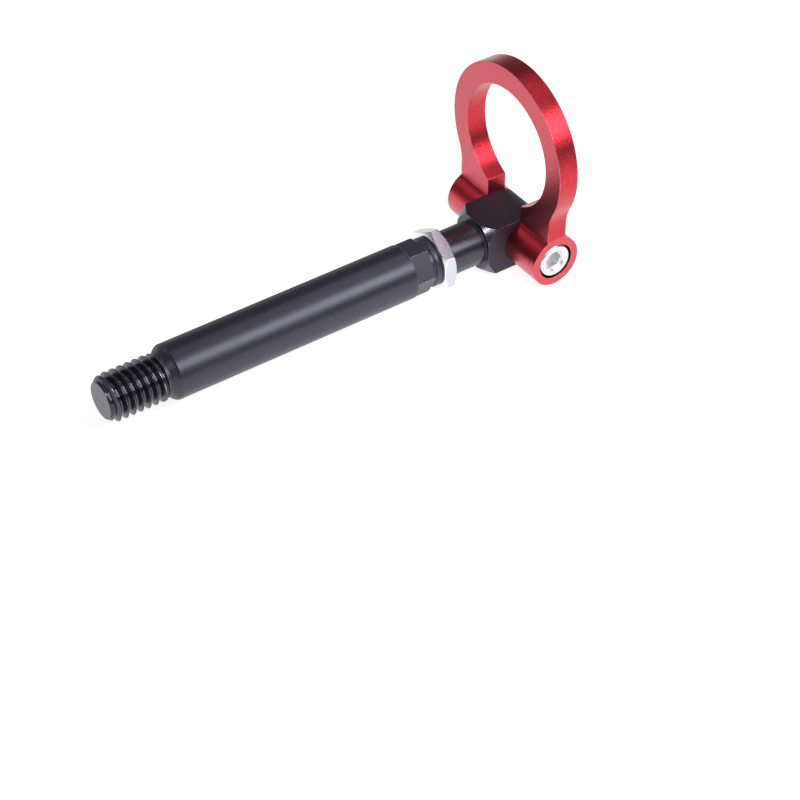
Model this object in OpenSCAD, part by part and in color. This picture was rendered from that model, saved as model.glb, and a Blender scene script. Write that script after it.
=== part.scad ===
// Screw-in tow eye with a folding ring.
// The shaft lies along X. The origin is on its axis, where the full thread ends beside the shoulder.
// The thread points along -X, the ring stands up along +Z and the pivot runs along Y.

/* [Thread] */
// Outside diameter of the thread that screws into the car
thread_d = 18; // [16:0.5:18]
// Pitch of the thread
pitch = 3; // [2:0.25:3.5]
// Length of the thread, from its tip to the end of its full form
thread_len = 22; // [16:0.5:30]
// Length of the bevel at the thread's tip
tip_bevel = 2.6; // [1:0.1:3]
// Length of the plain neck between the thread and the shoulder
neck_len = 2.3; // [1.5:0.25:5]

/* [Shaft] */
// Diameter of the round bar
shaft_d = 21; // [20:0.5:26]
// Length of the bar, from the end of the thread to the lock nut's seat
shaft_len = 116.5; // [90:1:180]
// Length of the bevel on the shoulder behind the neck
shoulder_bevel = 1.8; // [0.5:0.25:3]
// Size of the wrench hexagon across its flats
wrench_af = 18; // [16:0.5:18]
// Length of the wrench hexagon
wrench_len = 7.9; // [5:0.5:14]
// How far the wrench hexagon is turned from having two flats upright
wrench_turn = 26; // [-30:1:30]
// Width of the groove between the hexagon and the end collar
groove_w = 1.3; // [0.8:0.1:3]
// Diameter at the bottom of that groove
groove_d = 17.4; // [16.6:0.1:18]
// Width of the end collar
collar_w = 2.4; // [1.5:0.1:5]
// Diameter of the end collar
collar_d = 19; // [18.5:0.1:19.5]
// Depth of the threaded hole in the end of the bar
socket_depth = 34; // [32:1:60]

/* [Lock nut] */
// Size of the nut across its flats
nut_af = 22; // [19:0.5:24]
// Thickness of the nut
nut_t = 5.3; // [4:0.1:8]
// How far the nut is turned from having two flats upright
nut_turn = -1; // [-30:1:30]

/* [Head] */
// Diameter of the head's threaded stud
stud_d = 14; // [10:0.5:15]
// Length of the stud that is screwed into the bar
stud_grip = 28; // [20:1:30]
// Diameter of the head's round stem
stem_d = 17.2; // [16.5:0.1:19]
// Length of the stem, from the nut to the block
stem_len = 15.1; // [12:0.5:25]
// Distance from the block's stem side to the pivot
block_len = 18.1; // [14:0.1:24]
// Width of the block along the pivot
block_w = 20; // [19:0.5:24]
// Diameter of the cone turned on the block, at its stem side
block_cone_d = 21.4; // [20.5:0.1:24]
// Angle of that cone from the axis
block_cone_angle = 45; // [30:1:60]

/* [Ring] */
// Radius of the ring's opening
eye_r = 23.8; // [18:0.1:28]
// Width of the ring's rim
rim_w = 8.5; // [7:0.1:12]
// Thickness of the ring plate
ring_t = 8; // [6:0.1:10]
// Height of the opening's centre above the pivot
eye_h = 38; // [36:0.5:46]
// Diameter of the two barrels and of the head's nose
barrel_d = 20.3; // [19:0.1:23]
// Length of each barrel
barrel_len = 16.9; // [15:0.1:20]
// Radius of the hollow where the rim runs into each leg
neck_fillet = 18; // [10:1:24]
// Radius of the hollow between the plate's back and each barrel
back_fillet = 2; // [0.5:0.25:3]

/* [Pivot bolt] */
// Diameter of the bolt
bolt_d = 8; // [6:0.5:8]
// Length of the bolt under its head
bolt_len = 45; // [40:1:45]
// Diameter of the bolt's head
bolt_head_d = 13.2; // [12:0.1:14]
// Height of the bolt's head
bolt_head_h = 8; // [6:0.1:8]
// Size of the bolt's hexagon socket across its flats
key_af = 6; // [4:0.5:6.5]
// Depth of the hexagon socket
key_depth = 4.6; // [3:0.1:5]
// Width of the bevel round the socket's mouth
key_bevel = 0.8; // [0.3:0.1:1]
// How far the head lies below the barrel's end
head_sink = 0.2; // [0:0.1:1]

/* [Fits] */
// Gap at each side between the block and a barrel
side_gap = 0.15; // [0.1:0.05:0.3]
// Gap all round between the bolt and the head's cross hole
pivot_gap = 0.05; // [0.02:0.01:0.1]
// Gap all round between the stud and its threaded holes
stud_gap = 0.05; // [0.02:0.01:0.1]
// Gap all round between the bolt's head and its counterbore
head_gap = 0.65; // [0.3:0.05:1]
// Gap all round between the bolt and the near barrel's hole
shank_gap = 0.25; // [0.1:0.05:0.5]

/* [Hidden] */
$fn = 96;
tiny = 0.01;

// Thread form: 60 degree flanks, a flat root of a quarter of the pitch, and the usual depth.
thread_r = thread_d / 2;
thread_depth = 0.6134 * pitch;
root_w = pitch / 4;
flank_angle = 30;
thread_steps = 32;
thread_overcut = 0.15;
thread_land = 0.5;
run_out = 1.5;
fade_turns = 0.5;
fade_least = 0.1;

// Places along the shaft
nut_x = shaft_len;
stem_x = nut_x + nut_t;
block_x = stem_x + stem_len;
pivot_x = block_x + block_len;
groove_x = shaft_len - collar_w - groove_w;
wrench_x = groove_x - wrench_len;

// Sizes that follow from the ones above
barrel_r = barrel_d / 2;
gap_y = block_w / 2 + side_gap;
ring_y = gap_y + barrel_len;
rim_r = eye_r + rim_w;
head_y = -ring_y + head_sink;
bolt_seat_y = head_y + bolt_head_h;
counterbore_r = bolt_head_d / 2 + head_gap;
hole_r = stud_d / 2 + stud_gap;
edge = 0.5;

// Centre of the hollow that joins the rim to a leg: it touches the rim's circle and the leg's side.
hollow_y = ring_y + neck_fillet;
hollow_z = eye_h - sqrt(pow(rim_r + neck_fillet, 2) - pow(hollow_y, 2));
hollow_touch = rim_r / (rim_r + neck_fillet);

// Turns a profile of [radius, x] points about the X axis.
module turned(profile)
  rotate([0, 90, 0]) rotate_extrude() polygon(profile);

// A cylinder along X from x0 to x1.
module rod_x(r, x0, x1)
  translate([x0, 0, 0]) rotate([0, 90, 0]) cylinder(r = r, h = x1 - x0);

// A cylinder along Y from y0 to y1.
module rod_y(r, y0, y1)
  translate([0, y1, 0]) rotate([90, 0, 0]) cylinder(r = r, h = y1 - y0);

// A hexagonal bar along X from x0 to x1. With no turn, one pair of flats is upright.
module hex_x(af, x0, x1, turn = 0)
  translate([x0, 0, 0]) rotate([turn, 0, 0]) rotate([0, 90, 0])
    cylinder(r = af / 2 / cos(30), h = x1 - x0, $fn = 6);

// One section of the thread's groove, at an angle round the shaft. The groove fades out where fade is 0.
function groove_section(angle, x, fade) =
  let (
    root_r = thread_r - thread_depth * fade,
    top_r = thread_r + thread_overcut,
    root_half = root_w / 2 * max(fade, fade_least * 2),
    top_half = root_half + (top_r - root_r) * tan(flank_angle),
    spread = [[-top_half, top_r], [-root_half, root_r], [root_half, root_r], [top_half, top_r]]
  )
  [for (p = spread) [x + p[0], p[1] * cos(angle), p[1] * sin(angle)]];

// The thread's helical groove, as a swept cutter.
module thread_groove() {
  turns = (thread_len + pitch + run_out) / pitch;
  count = floor(turns * thread_steps);
  x0 = -thread_len - pitch;
  points = [
    for (i = [0 : count])
      let (
        turn = i / thread_steps,
        fade = min(1, max(fade_least, (turns - turn) / fade_turns))
      )
      each groove_section(turn * 360, x0 + turn * pitch, fade)
  ];
  sides = [
    for (i = [0 : count - 1], k = [0 : 3])
      let (a = i * 4 + k, b = i * 4 + (k + 1) % 4)
      each [[a, b + 4, b], [a, a + 4, b + 4]]
  ];
  last = count * 4;
  ends = [[0, 1, 2], [0, 2, 3], [last + 2, last + 1, last], [last + 3, last + 2, last]];
  polyhedron(points, concat(sides, ends));
}

// The bar's outline, from the thread's tip to the end collar.
module shaft_outline() {
  tip_r = thread_r - tip_bevel * 0.8;
  neck_r = thread_r - pitch * 0.25;
  shaft_r = shaft_d / 2;
  shoulder_x = neck_len + shoulder_bevel;
  soft = min(edge, (shaft_r - neck_r) / 2);
  turned([
    [0, -thread_len],
    [tip_r, -thread_len],
    [thread_r, tip_bevel - thread_len],
    [thread_r, thread_land],
    [neck_r, thread_land + (thread_r - neck_r)],
    [neck_r, neck_len],
    [shaft_r - soft, shoulder_x],
    [shaft_r, shoulder_x + 2 * soft],
    [shaft_r, groove_x - edge],
    [shaft_r - edge, groove_x],
    [groove_d / 2, groove_x],
    [groove_d / 2, groove_x + groove_w],
    [collar_d / 2 - edge, groove_x + groove_w],
    [collar_d / 2, groove_x + groove_w + edge],
    [collar_d / 2, shaft_len - edge],
    [collar_d / 2 - edge, shaft_len],
    [0, shaft_len]
  ]);
}

// The round bar with its thread, wrench hexagon, collar and blind threaded hole.
module shaft() {
  drill_tip = hole_r * tan(30);
  color([0.12, 0.12, 0.14])
  difference() {
    shaft_outline();
    difference() {
      rod_x(shaft_d, wrench_x, groove_x);
      hex_x(wrench_af, wrench_x - tiny, groove_x + tiny, wrench_turn);
    }
    turned([
      [0, shaft_len - socket_depth - drill_tip],
      [hole_r, shaft_len - socket_depth],
      [hole_r, shaft_len - edge],
      [hole_r + edge, shaft_len],
      [hole_r + edge, shaft_len + 1],
      [0, shaft_len + 1]
    ]);
    thread_groove();
  }
}

// The thin lock nut, with its corners turned off at both faces.
module lock_nut() {
  outer_r = nut_af / 2 / cos(30) + 1;
  face_r = nut_af / 2 * 0.97;
  drop = (outer_r - face_r) * tan(30);
  color([0.8, 0.8, 0.82])
  difference() {
    intersection() {
      hex_x(nut_af, nut_x, stem_x, nut_turn);
      turned([
        [0, nut_x],
        [face_r, nut_x],
        [outer_r, nut_x + drop],
        [outer_r, stem_x - drop],
        [face_r, stem_x],
        [0, stem_x]
      ]);
    }
    rod_x(hole_r, nut_x - 1, stem_x + 1);
  }
}

// The swivel head: a stud, a round stem and a square block with a round nose and a cross hole.
module swivel_head() {
  corner_r = norm([block_w / 2, barrel_r]) + 1;
  cone_r = block_cone_d / 2;
  cone_x = block_x + (corner_r - cone_r) / tan(block_cone_angle);
  stud_end = nut_x - stud_grip;
  stud_r = stud_d / 2;
  color([0.1, 0.1, 0.11])
  difference() {
    union() {
      turned([
        [0, stud_end],
        [stud_r - 1, stud_end],
        [stud_r, stud_end + 1],
        [stud_r, stem_x],
        [stem_d / 2 - edge, stem_x],
        [stem_d / 2, stem_x + edge],
        [stem_d / 2, block_x + tiny],
        [0, block_x + tiny]
      ]);
      intersection() {
        union() {
          translate([block_x, -block_w / 2, -barrel_r]) cube([block_len, block_w, barrel_d]);
          translate([pivot_x, 0, 0]) rod_y(barrel_r, -block_w / 2, block_w / 2);
        }
        turned([
          [0, block_x],
          [cone_r, block_x],
          [corner_r, cone_x],
          [corner_r, pivot_x + barrel_d],
          [0, pivot_x + barrel_d]
        ]);
      }
    }
    translate([pivot_x, 0, 0]) rod_y(bolt_d / 2 + pivot_gap, -block_w, block_w);
  }
}

// The ring plate's face, drawn with Y to the right and Z up.
module ring_face() {
  difference() {
    union() {
      translate([0, eye_h]) circle(rim_r);
      for (side = [-1, 1])
        scale([side, 1])
          difference() {
            polygon([
              [gap_y, 0],
              [ring_y, 0],
              [ring_y, hollow_z],
              [hollow_y * hollow_touch, eye_h + (hollow_z - eye_h) * hollow_touch],
              [0, eye_h],
              [gap_y, eye_h]
            ]);
            translate([hollow_y, hollow_z]) circle(neck_fillet);
          }
    }
    translate([0, eye_h]) circle(eye_r);
    translate([-gap_y, -1]) square([2 * gap_y, eye_h + 1]);
  }
}

// A barrel of the ring from y0 to y1, with the hollow that joins it to the plate's back.
module barrel(y0, y1) {
  back_x = ring_t / 2;
  centre_x = back_x + back_fillet;
  centre_z = sqrt(pow(barrel_r + back_fillet, 2) - pow(centre_x, 2));
  touch = barrel_r / (barrel_r + back_fillet);
  rod_y(barrel_r, y0, y1);
  translate([0, y1, 0]) rotate([90, 0, 0]) linear_extrude(y1 - y0)
    difference() {
      polygon([[0, 0], [centre_x * touch, centre_z * touch], [back_x, centre_z], [0, centre_z]]);
      translate([centre_x, centre_z]) circle(back_fillet);
    }
}

// The ring: a flat rim on two legs, each ending in a barrel that takes the pivot bolt.
module tow_ring() {
  color([0.75, 0.1, 0.15])
  translate([pivot_x, 0, 0])
  difference() {
    union() {
      translate([-ring_t / 2, 0, 0]) rotate([90, 0, 90]) linear_extrude(ring_t) ring_face();
      barrel(-ring_y, -gap_y);
      barrel(gap_y, ring_y);
    }
    rod_y(counterbore_r, -ring_y - 1, bolt_seat_y);
    rod_y(bolt_d / 2 + shank_gap, -ring_y, 0);
    rod_y(bolt_d / 2 + pivot_gap, 0, ring_y + 1);
  }
}

// The socket-head bolt on which the ring swings.
module pivot_bolt() {
  head_r = bolt_head_d / 2;
  bolt_r = bolt_d / 2;
  mouth_r = key_af / 2 / cos(30) + key_bevel;
  mouth_depth = key_bevel * 1.5;
  color([0.85, 0.85, 0.87])
  translate([pivot_x, head_y, 0]) rotate([-90, 0, 0])
  difference() {
    rotate_extrude() polygon([
      [0, 0],
      [head_r - edge, 0],
      [head_r, edge],
      [head_r, bolt_head_h],
      [bolt_r, bolt_head_h],
      [bolt_r, bolt_head_h + bolt_len - 1],
      [bolt_r - 1, bolt_head_h + bolt_len],
      [0, bolt_head_h + bolt_len]
    ]);
    translate([0, 0, -1]) cylinder(r = key_af / 2 / cos(30), h = key_depth + 1, $fn = 6);
    rotate_extrude() polygon([
      [0, -tiny],
      [mouth_r, -tiny],
      [mouth_r - key_bevel, mouth_depth],
      [0, mouth_depth]
    ]);
  }
}

shaft();
lock_nut();
swivel_head();
tow_ring();
pivot_bolt();
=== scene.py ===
# %% [markdown]
# # A tow eye with a folding ring
# Such a piece is screwed into a threaded socket, and a tow strap is then hooked to its ring.
# A black steel bar carries a coarse thread at one end. At the other end a black swivel head is
# screwed in and locked by a thin nut, and a red aluminium ring swings on a bolt through that head.
# The five pieces come ready as solids, in metres, and this lesson gives them their finishes.
# The bar lies along X, the ring stands up along Z, and the bolt runs along Y.

import bpy
import math
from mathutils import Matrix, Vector


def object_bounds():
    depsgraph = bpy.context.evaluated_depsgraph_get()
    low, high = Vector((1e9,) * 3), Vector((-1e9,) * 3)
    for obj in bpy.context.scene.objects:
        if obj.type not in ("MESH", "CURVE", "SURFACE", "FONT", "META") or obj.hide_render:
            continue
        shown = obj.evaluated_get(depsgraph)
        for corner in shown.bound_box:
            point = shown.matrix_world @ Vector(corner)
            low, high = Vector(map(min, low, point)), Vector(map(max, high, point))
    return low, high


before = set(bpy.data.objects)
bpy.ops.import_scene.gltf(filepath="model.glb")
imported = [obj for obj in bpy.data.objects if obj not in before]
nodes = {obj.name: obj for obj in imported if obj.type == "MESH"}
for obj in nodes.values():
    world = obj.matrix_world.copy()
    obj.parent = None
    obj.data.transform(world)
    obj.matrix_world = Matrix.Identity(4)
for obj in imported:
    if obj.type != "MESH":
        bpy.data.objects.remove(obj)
solid_box = [list(corner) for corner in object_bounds()]
MM = 0.001
print("pieces:", sorted(nodes))
print("box of the solids:", solid_box)

# %% [markdown]
# ## The camera
# The picture is taken with a long lens from the left and well above, so the lines of the bar hardly
# run together. A camera can be placed by its distance, its angles and its lens. Here its place and
# angles are written out, because they were measured.

# %% Camera
CAMERA_PLACE = (-0.3050, -0.5889, 0.5595)
CAMERA_AZIMUTH = -34.77
CAMERA_ELEVATION = 40.91
FOCAL_LENGTH = 111.30
camera_data = bpy.data.cameras.new("camera")
camera_data.lens = FOCAL_LENGTH
camera_data.sensor_width = 36
camera_data.clip_start = 0.01
camera_data.clip_end = 100
camera = bpy.data.objects.new("camera", camera_data)
camera.location = CAMERA_PLACE
camera.rotation_euler = (math.radians(90 - CAMERA_ELEVATION), 0, math.radians(CAMERA_AZIMUTH))
bpy.context.scene.collection.objects.link(camera)
bpy.context.scene.camera = camera
print("camera at", CAMERA_PLACE, "with a lens of", FOCAL_LENGTH, "mm")

# %% [markdown]
# ## Small steps of a node tree
# A finish is a tree of nodes, and most of its steps are the same few: set an input or wire it to what
# comes before, do one sum, spread a value over a range. Each step gets a short helper here, so that the
# finishes further down read like a recipe.

# %% Helpers: an empty tree, and a node with its inputs filled
def empty_tree(owner):
    owner.use_nodes = True
    owner.node_tree.nodes.clear()
    return owner.node_tree


def feed(tree, socket, value):
    if isinstance(value, bpy.types.NodeSocket):
        tree.links.new(value, socket)
    elif socket.type == "RGBA":
        socket.default_value = (*value, 1)
    else:
        socket.default_value = value


def fill(tree, node, inputs):
    for name, value in inputs.items():
        feed(tree, node.inputs[name.replace("_", " ")], value)
    return node


def add(tree, kind, **inputs):
    return fill(tree, tree.nodes.new(kind), inputs)


# %% Helpers: one sum with numbers, one with vectors, and a value spread over a range
def combine(tree, operation, *values):
    node = add(tree, "ShaderNodeMath")
    node.operation = operation
    for place, value in enumerate(values):
        feed(tree, node.inputs[place], value)
    return node.outputs[0]


def combine_vectors(tree, operation, *values, result="Vector"):
    node = add(tree, "ShaderNodeVectorMath")
    node.operation = operation
    for place, value in enumerate(values):
        feed(tree, node.inputs[place], value)
    return node.outputs[result]


def ramp(tree, value, start, end, low=0.0, high=1.0):
    node = add(tree, "ShaderNodeMapRange", Value=value, From_Min=start, From_Max=end)
    fill(tree, node, {"To Min": low, "To Max": high})
    return node.outputs["Result"]


# %% [markdown]
# ## The light
# Black and polished metal show their surroundings more than their own colour, so each lamp is placed
# for what should mirror it. A low soft lamp close by draws the long highlights on the bar and on the
# ring's rim. A large one high above lights the upper sides, a small one beyond the thread's tip lights
# the faces that look that way, and a weak one behind keeps the far edges from sinking into black. The
# rest of the room stays dim, and the white table lights the undersides.

# %% The room
FRONT_GREY = 0.12
BACK_GREY = 0.28
CEILING_GREY = 0.16
WALL_REACH = 0.7
CEILING_HEIGHT = 0.45
world = bpy.data.worlds.new("room")
bpy.context.scene.world = world
tree = empty_tree(world)
direction = add(tree, "ShaderNodeTexCoord").outputs["Generated"]
split = add(tree, "ShaderNodeSeparateXYZ", Vector=direction)
walls = ramp(tree, split.outputs["Y"], -WALL_REACH, WALL_REACH, FRONT_GREY, BACK_GREY)
room = ramp(tree, split.outputs["Z"], 0.0, CEILING_HEIGHT, walls, CEILING_GREY)
background = add(tree, "ShaderNodeBackground", Strength=1.0)
tree.links.new(room, background.inputs["Color"])
add(tree, "ShaderNodeOutputWorld", Surface=background.outputs[0])
print("room: front", FRONT_GREY, "back", BACK_GREY, "ceiling", CEILING_GREY)

# %% Soft lamps
def soft_lamp(name, place, aim, width, height, radiance):
    data = bpy.data.lights.new(name, "AREA")
    data.shape = "RECTANGLE"
    data.size = width
    data.size_y = height
    data.energy = radiance * math.pi * width * height
    lamp = bpy.data.objects.new(name, data)
    lamp.location = place
    lamp.rotation_euler = (Vector(place) - Vector(aim)).to_track_quat("Z", "Y").to_euler()
    bpy.context.scene.collection.objects.link(lamp)
    print(name, "at", place, "watts", round(data.energy, 2))


soft_lamp("key_lamp", (0.17, -0.158, 0.172), (0.17, 0, 0), 0.28, 0.115, 4.7)
soft_lamp("top_lamp", (0.60, 0.07, 1.09), (0.08, 0, 0.01), 0.80, 0.28, 1.4)
soft_lamp("edge_lamp", (-0.72, -0.17, 0.47), (0.14, 0, 0.01), 0.12, 0.12, 17.0)
soft_lamp("back_lamp", (-0.34, 0.62, 0.61), (0.15, 0, 0), 0.45, 0.25, 0.9)

# %% [markdown]
# ## The table
# The object lies on a white sheet. The sheet glows a little to the camera and to reflections, so that it
# looks white in the picture, and its matt part still takes the object's soft shadow.

# %% White table
FLOOR_SIZE = 12.0
half = FLOOR_SIZE / 2
floor_z = solid_box[0][2]
table_mesh = bpy.data.meshes.new("table")
corners = [(x * half, y * half, floor_z) for x, y in ((-1, -1), (1, -1), (1, 1), (-1, 1))]
table_mesh.from_pydata(corners, [], [(0, 1, 2, 3)])
table = bpy.data.objects.new("table", table_mesh)
bpy.context.scene.collection.objects.link(table)
print("table at", round(floor_z, 4))

# %% White paper on the table
PAPER_GREY = 0.55
SEEN_GLOW = 0.85
MIRRORED_GLOW = 0.75
paper = bpy.data.materials.new("white_paper")
tree = empty_tree(paper)
matt = add(tree, "ShaderNodeBsdfDiffuse", Color=(PAPER_GREY, PAPER_GREY, PAPER_GREY))
rays = add(tree, "ShaderNodeLightPath").outputs
mirrored = combine(tree, "MAXIMUM", rays["Is Glossy Ray"], rays["Is Transmission Ray"])
mirrored_glow = combine(tree, "MULTIPLY", mirrored, MIRRORED_GLOW)
strength = combine(tree, "MULTIPLY_ADD", rays["Is Camera Ray"], SEEN_GLOW, mirrored_glow)
glow = add(tree, "ShaderNodeEmission", Strength=strength)
both = add(tree, "ShaderNodeAddShader")
tree.links.new(matt.outputs[0], both.inputs[0])
tree.links.new(glow.outputs[0], both.inputs[1])
add(tree, "ShaderNodeOutputMaterial", Surface=both.outputs[0])
table_mesh.materials.append(paper)
print("paper glows", SEEN_GLOW, "to the camera and", MIRRORED_GLOW, "to reflections")

# %% [markdown]
# ## Shared effects
# Three effects come back in more than one finish, so each is a node group with its own inputs.
# Fine grain is the tiny orange peel of a coating, or the bite of a bead-blasted surface.
# Rubbed edges are where the finish is thin: a small bevel's normal differs from the face's normal there.
# Smudges are large soft patches that change the gloss a little, as handled metal shows.

# %% Helpers: a node group with named inputs and outputs, and uneven patches of a given size
def new_group(name, inputs, outputs):
    group = bpy.data.node_groups.new(name, "ShaderNodeTree")
    for label, value in inputs:
        kind = "NodeSocketVector" if value is None else "NodeSocketFloat"
        socket = group.interface.new_socket(label, in_out="INPUT", socket_type=kind)
        if value is not None:
            socket.default_value = value
    for label, kind in outputs:
        group.interface.new_socket(label, in_out="OUTPUT", socket_type=kind)
    print("group", name)
    return group, group.nodes.new("NodeGroupInput").outputs, group.nodes.new("NodeGroupOutput")


def uneven(tree, size, detail, roughness):
    place = add(tree, "ShaderNodeTexCoord").outputs["Object"]
    scale = combine(tree, "DIVIDE", 1.0, size)
    noise = add(tree, "ShaderNodeTexNoise", Vector=place, Scale=scale, Detail=detail, Roughness=roughness)
    return noise.outputs["Fac"]


# %% Fine grain
grain_group, given, result = new_group(
    "fine_grain",
    [("Size", 0.3 * MM), ("Depth", 0.02 * MM), ("Normal", None)],
    [("Value", "NodeSocketFloat"), ("Normal", "NodeSocketVector")],
)
grain = uneven(grain_group, given["Size"], detail=3.0, roughness=0.6)
bump = add(grain_group, "ShaderNodeBump", Height=grain, Distance=given["Depth"], Normal=given["Normal"])
bump.inputs["Strength"].default_value = 1.0
fill(grain_group, result, {"Value": grain, "Normal": bump.outputs["Normal"]})

# %% Rubbed edges
SAME_DIRECTION = 0.995
OVER_THE_EDGE = 0.93
edge_group, given, result = new_group(
    "rubbed_edges",
    [("Reach", 0.4 * MM), ("Patch Size", 6 * MM), ("Amount", 0.5)],
    [("Mask", "NodeSocketFloat"), ("Normal", "NodeSocketVector")],
)
rounded = add(edge_group, "ShaderNodeBevel", Radius=given["Reach"])
rounded.samples = 8
face_normal = add(edge_group, "ShaderNodeNewGeometry").outputs["Normal"]
agree = combine_vectors(edge_group, "DOT_PRODUCT", rounded.outputs["Normal"], face_normal, result="Value")
near_edge = ramp(edge_group, agree, SAME_DIRECTION, OVER_THE_EDGE)
patches = uneven(edge_group, given["Patch Size"], detail=4.0, roughness=0.65)
in_patches = combine(edge_group, "MULTIPLY", near_edge, ramp(edge_group, patches, 0.35, 0.65))
mask = combine(edge_group, "MULTIPLY", in_patches, given["Amount"])
fill(edge_group, result, {"Mask": mask, "Normal": rounded.outputs["Normal"]})

# %% Smudges
smudge_group, given, result = new_group(
    "smudges",
    [("Size", 18 * MM), ("Low", 0.3), ("High", 0.4)],
    [("Value", "NodeSocketFloat")],
)
patches = uneven(smudge_group, given["Size"], detail=5.0, roughness=0.55)
fill(smudge_group, result, {"Value": ramp(smudge_group, patches, 0.3, 0.7, given["Low"], given["High"])})

# %% Helper: place a group in a material
def place_group(tree, group, **inputs):
    node = tree.nodes.new("ShaderNodeGroup")
    node.node_tree = group
    return fill(tree, node, inputs)


# %% [markdown]
# ## Finishes
# Every finish here is one Principled shader with the shared effects around it. The coating is a dark
# plastic-like skin over steel, and shows bare metal where it is rubbed. Anodised aluminium is a metal
# whose own colour is red. Zinc plating is a pale metal with a fine grain. Where a finish changes from
# one face to the next, a mask picks the face, by the way it looks or by its place on the piece.

# %% Helpers: masks by the way a face looks, by its place, and by its distance from an axis
TO_TIP = (-1, 0, 0)
TO_RING = (1, 0, 0)
TO_BOLT_HEAD = (0, -1, 0)
UP = (0, 0, 1)
SQUARE_ON = (0.9, 0.98)
print("a face is square on when its cosine passes", SQUARE_ON)


def facing_mask(tree, axis, low, high):
    normal = add(tree, "ShaderNodeTexCoord").outputs["Normal"]
    return ramp(tree, combine_vectors(tree, "DOT_PRODUCT", normal, axis, result="Value"), low, high)


def place_along(tree, letter):
    place = add(tree, "ShaderNodeTexCoord").outputs["Object"]
    return add(tree, "ShaderNodeSeparateXYZ", Vector=place).outputs[letter]


def distance_from_axis(tree, point, across):
    place = add(tree, "ShaderNodeTexCoord").outputs["Object"]
    from_point = combine_vectors(tree, "SUBTRACT", place, point)
    flattened = combine_vectors(tree, "MULTIPLY", from_point, across)
    return combine_vectors(tree, "LENGTH", flattened, result="Value")


# %% Helpers: mix two colours, or two numbers, by a mask
def mix_colours(tree, mask, under, over):
    mix = add(tree, "ShaderNodeMix")
    mix.data_type = "RGBA"
    for place, value in ((0, mask), (6, under), (7, over)):
        feed(tree, mix.inputs[place], value)
    return mix.outputs[2]


def mix_numbers(tree, mask, under, over):
    mix = add(tree, "ShaderNodeMix")
    for place, value in ((0, mask), (2, under), (3, over)):
        feed(tree, mix.inputs[place], value)
    return mix.outputs[0]


# %% Helper: a material that holds one Principled shader
def new_finish(name):
    material = bpy.data.materials.new(name)
    tree = empty_tree(material)
    shader = add(tree, "ShaderNodeBsdfPrincipled")
    add(tree, "ShaderNodeOutputMaterial", Surface=shader.outputs[0])
    print("finish", name)
    return material, tree, shader


# %% [markdown]
# ### The black coating
# The bar and the head are steel with a thin black coating. The coating is smooth and a little glossy,
# and its skin bends light more than plastic does. Dust settles on the sides that look up, and makes
# them duller where they are seen at a slant. The coating wears off first at the edges. On the thread,
# bare steel on the crest and the edges is painted only on the side that faces the low lamp, as painted
# glints. The faces cut square to the bar are paler than the rest, and the hexagon is a little paler too.
# Places along the bar are counted from the end of the full thread, where the solids have their origin.

# %% Black coated steel
BARE_STEEL = (0.62, 0.60, 0.65)
COATING_IOR = 1.8
COATING_TINT = (0.84, 0.82, 1.0)
DUSTY_ROUGHNESS = 0.62


def black_coat(name, gloss, reach, rubbing):
    material, tree, shader = new_finish(name)
    fill(tree, shader, {"IOR": COATING_IOR, "Specular Tint": COATING_TINT})
    edges = place_group(tree, edge_group, Reach=reach, Patch_Size=5 * MM, Amount=rubbing)
    rounded = edges.outputs["Normal"]
    fine = place_group(tree, grain_group, Size=0.35 * MM, Depth=0.018 * MM, Normal=rounded)
    tree.links.new(fine.outputs["Normal"], shader.inputs["Normal"])
    patches = place_group(tree, smudge_group, Low=gloss[0], High=gloss[1])
    slant = add(tree, "ShaderNodeLayerWeight", Blend=0.5)
    slanted = ramp(tree, slant.outputs["Facing"], 0.55, 0.90)
    dusty = combine(tree, "MULTIPLY", slanted, facing_mask(tree, UP, -0.2, 0.2))
    roughness = mix_numbers(tree, dusty, patches.outputs["Value"], DUSTY_ROUGHNESS)
    return material, tree, shader, edges, roughness


# %% The bar: where its thread, its hexagon and its square faces are
THREAD_END = 0.8 * MM
CREST_FOOT = 8.50 * MM
CREST_TOP = 8.75 * MM
HEXAGON_START = 104.8 * MM
HEXAGON_END = 112.8 * MM
# The side that faces the low lamp, where the thread's glints are painted.
GLINT_SIDE_DIRECTION = (0, -0.70, 0.71)
BAR_REACH = 0.35 * MM
THREAD_REACH = 0.15 * MM
bar_finish, tree, shader, edges, roughness = black_coat("black_coat_bar", (0.34, 0.40), BAR_REACH, 0.6)
along_bar = place_along(tree, "X")
on_thread = combine(tree, "LESS_THAN", along_bar, THREAD_END)
past_start = combine(tree, "GREATER_THAN", along_bar, HEXAGON_START)
before_end = combine(tree, "LESS_THAN", along_bar, HEXAGON_END)
on_hexagon = combine(tree, "MULTIPLY", past_start, before_end)
square_face = facing_mask(tree, TO_TIP, *SQUARE_ON)
print("hexagon from", round(HEXAGON_START / MM, 1), "to", round(HEXAGON_END / MM, 1), "mm")

# %% The bar: where it is worn, and where the thread's glints are painted
# Painted glints: on the thread, the bare crest and the rubbed edges are kept only on the side facing the
# low lamp.
glint_side = facing_mask(tree, GLINT_SIDE_DIRECTION, 0.50, 0.85)
high_on_thread = ramp(tree, distance_from_axis(tree, (0, 0, 0), (0, 1, 1)), CREST_FOOT, CREST_TOP)
glinting_crests = combine(tree, "MULTIPLY", high_on_thread, combine(tree, "MULTIPLY", glint_side, on_thread))
tree.links.new(mix_numbers(tree, on_thread, BAR_REACH, THREAD_REACH), edges.inputs["Reach"])
wear_and_glint_side = mix_numbers(tree, on_thread, 1.0, glint_side)
rubbed = combine(tree, "MULTIPLY", edges.outputs["Mask"], wear_and_glint_side)
print("crests are bare beyond a radius of", round(CREST_TOP / MM, 2), "mm")

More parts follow.
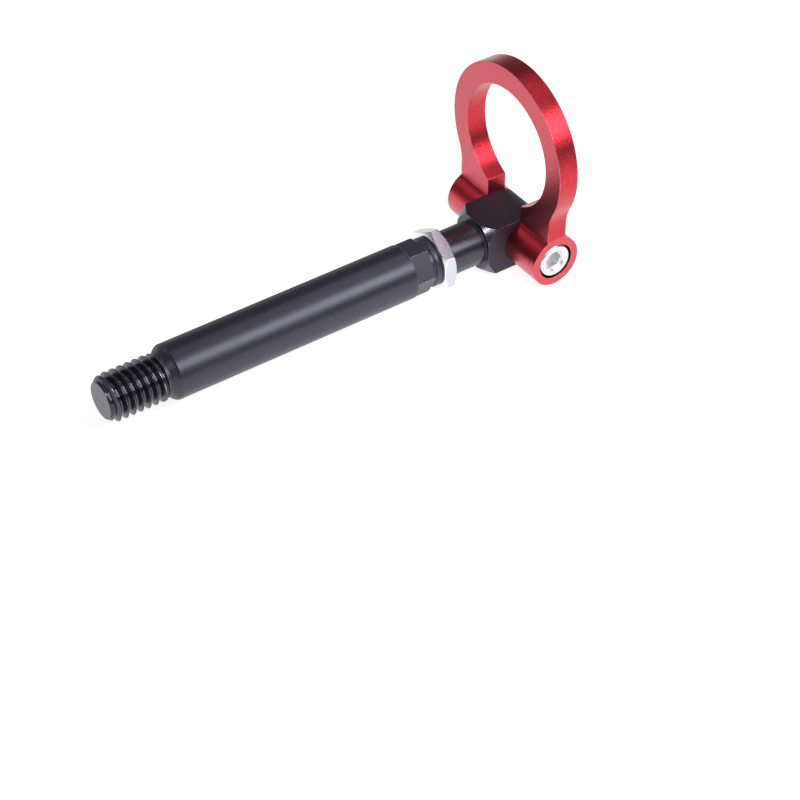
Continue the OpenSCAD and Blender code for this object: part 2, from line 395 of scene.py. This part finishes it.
# %% The bar: colours and gloss
BAR_BLACK = (0.010, 0.0095, 0.023)
HEXAGON_BLACK = (0.030, 0.028, 0.042)
SQUARE_FACE_GREY = (0.18, 0.175, 0.21)
# Painted glints: the next two greys are for the thread's crest and rubbed edges on the lamp's side only.
CREST_GLINT_GREY = (0.30, 0.295, 0.325)
THREAD_EDGE_GLINT_GREY = (0.17, 0.167, 0.187)
THREAD_ROUGHNESS = 0.24
CREST_ROUGHNESS = 0.15
skin = mix_colours(tree, on_hexagon, BAR_BLACK, HEXAGON_BLACK)
skin = mix_colours(tree, square_face, skin, SQUARE_FACE_GREY)
skin = mix_colours(tree, glinting_crests, skin, CREST_GLINT_GREY)
# On the thread the rubbed edges take the painted glint grey instead of bare steel.
edge_metal_and_glint = mix_colours(tree, on_thread, BARE_STEEL, THREAD_EDGE_GLINT_GREY)
skin = mix_colours(tree, rubbed, skin, edge_metal_and_glint)
roughness = mix_numbers(tree, on_thread, roughness, THREAD_ROUGHNESS)
roughness = mix_numbers(tree, glinting_crests, roughness, CREST_ROUGHNESS)
bare = combine(tree, "MAXIMUM", rubbed, glinting_crests)
fill(tree, shader, {"Base Color": skin, "Metallic": bare, "Roughness": roughness})
print("bar", BAR_BLACK, "hexagon", HEXAGON_BLACK, "glinting_crests", CREST_GLINT_GREY)

# %% [markdown]
# ### The head
# The head has the same coating, but its block is duller and blacker than its turned stem. Between the
# two the corners of the block are cut to a cone, which is brighter. The cone is picked by its slope.

# %% The head: dull block, smooth stem, bright cone
BLOCK_START = 136.9 * MM
STEM_BLACK = (0.010, 0.010, 0.018)
BLOCK_BLACK = (0.006, 0.004, 0.008)
CONE_GREY = (0.17, 0.165, 0.19)
BLOCK_ROUGHNESS = 0.58
CONE_ROUGHNESS = 0.20
head_finish, tree, shader, edges, roughness = black_coat("black_coat_head", (0.26, 0.32), 0.25 * MM, 0.5)
rubbed = edges.outputs["Mask"]
steep = facing_mask(tree, TO_TIP, 0.66, 0.69)
steeper = facing_mask(tree, TO_TIP, 0.72, 0.75)
cone = combine(tree, "SUBTRACT", steep, steeper)
in_block = combine(tree, "GREATER_THAN", place_along(tree, "X"), BLOCK_START)
skin = mix_colours(tree, in_block, STEM_BLACK, BLOCK_BLACK)
skin = mix_colours(tree, rubbed, skin, BARE_STEEL)
skin = mix_colours(tree, cone, skin, CONE_GREY)
roughness = mix_numbers(tree, in_block, roughness, BLOCK_ROUGHNESS)
roughness = mix_numbers(tree, cone, roughness, CONE_ROUGHNESS)
bare = combine(tree, "MAXIMUM", rubbed, cone)
fill(tree, shader, {"Base Color": skin, "Metallic": bare, "Roughness": roughness})
print("block from", round(BLOCK_START / MM, 1), "mm, in", BLOCK_BLACK)

# %% [markdown]
# ### The zinc plating
# The nut and the bolt are plated with zinc, which is a pale metal with a faint grain. The nut's upper
# faces are painted darker, as painted shade that dims their mirror of the lamp above. The faces that look
# to the thread were turned, and are painted paler as a painted sheen, so they are the brightest. The
# inside of the bolt's key socket is rough, as it was pressed.

# %% Zinc plate
PIVOT_PLACE = (155 * MM, 0, 0)
KEY_SOCKET_RADIUS = 3.9 * MM
KEY_SOCKET_ROUGHNESS = 0.55
# A paler zinc painted on the turned faces that look to the thread, as a painted sheen.
TURNED_FACE_SHEEN = (0.93, 0.92, 0.94)
RUBBED_ZINC = (0.94, 0.94, 0.94)


def zinc_plate(name, colour, top_shade, gloss, grain_depth):
    material, tree, shader = new_finish(name)
    edges = place_group(tree, edge_group, Reach=0.5 * MM, Amount=1.0)
    rounded = edges.outputs["Normal"]
    fine = place_group(tree, grain_group, Size=0.3 * MM, Depth=grain_depth, Normal=rounded)
    patches = place_group(tree, smudge_group, Size=4 * MM, Low=gloss[0], High=gloss[1])
    # Painted shade: faces that look up take the darker second colour.
    plated = mix_colours(tree, facing_mask(tree, UP, 0.3, 0.8), colour, top_shade)
    # Painted sheen: faces that look to the thread take the paler zinc.
    plated = mix_colours(tree, facing_mask(tree, TO_TIP, 0.4, 0.7), plated, TURNED_FACE_SHEEN)
    plated = mix_colours(tree, edges.outputs["Mask"], plated, RUBBED_ZINC)
    from_pivot = distance_from_axis(tree, PIVOT_PLACE, (1, 0, 1))
    in_socket = combine(tree, "LESS_THAN", from_pivot, KEY_SOCKET_RADIUS)
    roughness = mix_numbers(tree, in_socket, patches.outputs["Value"], KEY_SOCKET_ROUGHNESS)
    fill(tree, shader, {"Base Color": plated, "Metallic": 1.0, "Roughness": roughness})
    tree.links.new(fine.outputs["Normal"], shader.inputs["Normal"])
    return material


# %% The nut's plating and the bolt's
NUT_ZINC = (0.69, 0.68, 0.77)
# The second colour is painted shade for the nut's upper faces.
NUT_TOP_SHADE = (0.53, 0.50, 0.60)
BOLT_ZINC = (0.76, 0.75, 0.77)
nut_finish = zinc_plate("zinc_nut", NUT_ZINC, NUT_TOP_SHADE, (0.15, 0.20), 0.030 * MM)
bolt_finish = zinc_plate("zinc_bolt", BOLT_ZINC, BOLT_ZINC, (0.24, 0.32), 0.008 * MM)

# %% [markdown]
# ### Red anodised aluminium
# Anodising grows a clear, hard skin on the aluminium, and a red dye soaks into it. The metal below
# reflects through the dye, so its reflections are red. The skin itself gives a weak white reflection,
# strongest where it is seen at a slant, and that is why the flat faces look pinkish. The blank was
# blasted with fine beads first, which leaves small dents that sparkle in the highlights.

# %% Red anodised
BARREL_TOP = 10.3 * MM
FLAT_RED = (0.62, 0.045, 0.075)
DARK_RED = (0.52, 0.0125, 0.028)
SPECKLE_RED = (0.69, 0.029, 0.053)
RUBBED_RED = (0.85, 0.32, 0.38)
SPECKLE_LEVEL = 0.56
FLAT_ROUGHNESS = 0.27
ROUND_COAT = 0.5
FLAT_COAT = 0.85
COAT_ROUGHNESS = 0.36


def flat_faces(tree):
    front = facing_mask(tree, TO_TIP, *SQUARE_ON)
    back = facing_mask(tree, TO_RING, *SQUARE_ON)
    on_barrel = combine(tree, "LESS_THAN", place_along(tree, "Z"), BARREL_TOP)
    near_end = combine(tree, "MULTIPLY", facing_mask(tree, TO_BOLT_HEAD, 0.97, 0.995), on_barrel)
    return combine(tree, "MAXIMUM", combine(tree, "MAXIMUM", front, back), near_end)


def red_anodised():
    material, tree, shader = new_finish("red_anodised")
    edges = place_group(tree, edge_group, Reach=0.45 * MM, Amount=0.7)
    rounded = edges.outputs["Normal"]
    fine = place_group(tree, grain_group, Size=0.50 * MM, Depth=0.080 * MM, Normal=rounded)
    patches = place_group(tree, smudge_group, Low=0.25, High=0.29)
    flat = flat_faces(tree)
    speckle = combine(tree, "GREATER_THAN", fine.outputs["Value"], SPECKLE_LEVEL)
    red = mix_colours(tree, flat, mix_colours(tree, speckle, DARK_RED, SPECKLE_RED), FLAT_RED)
    red = mix_colours(tree, edges.outputs["Mask"], red, RUBBED_RED)
    roughness = mix_numbers(tree, flat, patches.outputs["Value"], FLAT_ROUGHNESS)
    coat = mix_numbers(tree, flat, ROUND_COAT, FLAT_COAT)
    fill(tree, shader, {"Base Color": red, "Metallic": 1.0, "Roughness": roughness})
    fill(tree, shader, {"Coat Weight": coat, "Coat Roughness": COAT_ROUGHNESS})
    tree.links.new(fine.outputs["Normal"], shader.inputs["Normal"])
    return material


ring_finish = red_anodised()

# %% [markdown]
# ## Dress the pieces
# Each piece takes its finish in place of the plain material that it came with.

# %% Put the finishes on the pieces
finishes = {
    "shaft": bar_finish,
    "swivel_head": head_finish,
    "lock_nut": nut_finish,
    "pivot_bolt": bolt_finish,
    "tow_ring": ring_finish,
}
for name, material in finishes.items():
    piece = nodes[name]
    for slot in piece.material_slots:
        slot.material = material
    print(name, "gets", material.name)

# %% [markdown]
# ## The picture
# The plain view transform shows each colour about as it is written.

# %% Picture settings
bpy.context.scene.view_settings.view_transform = "Standard"
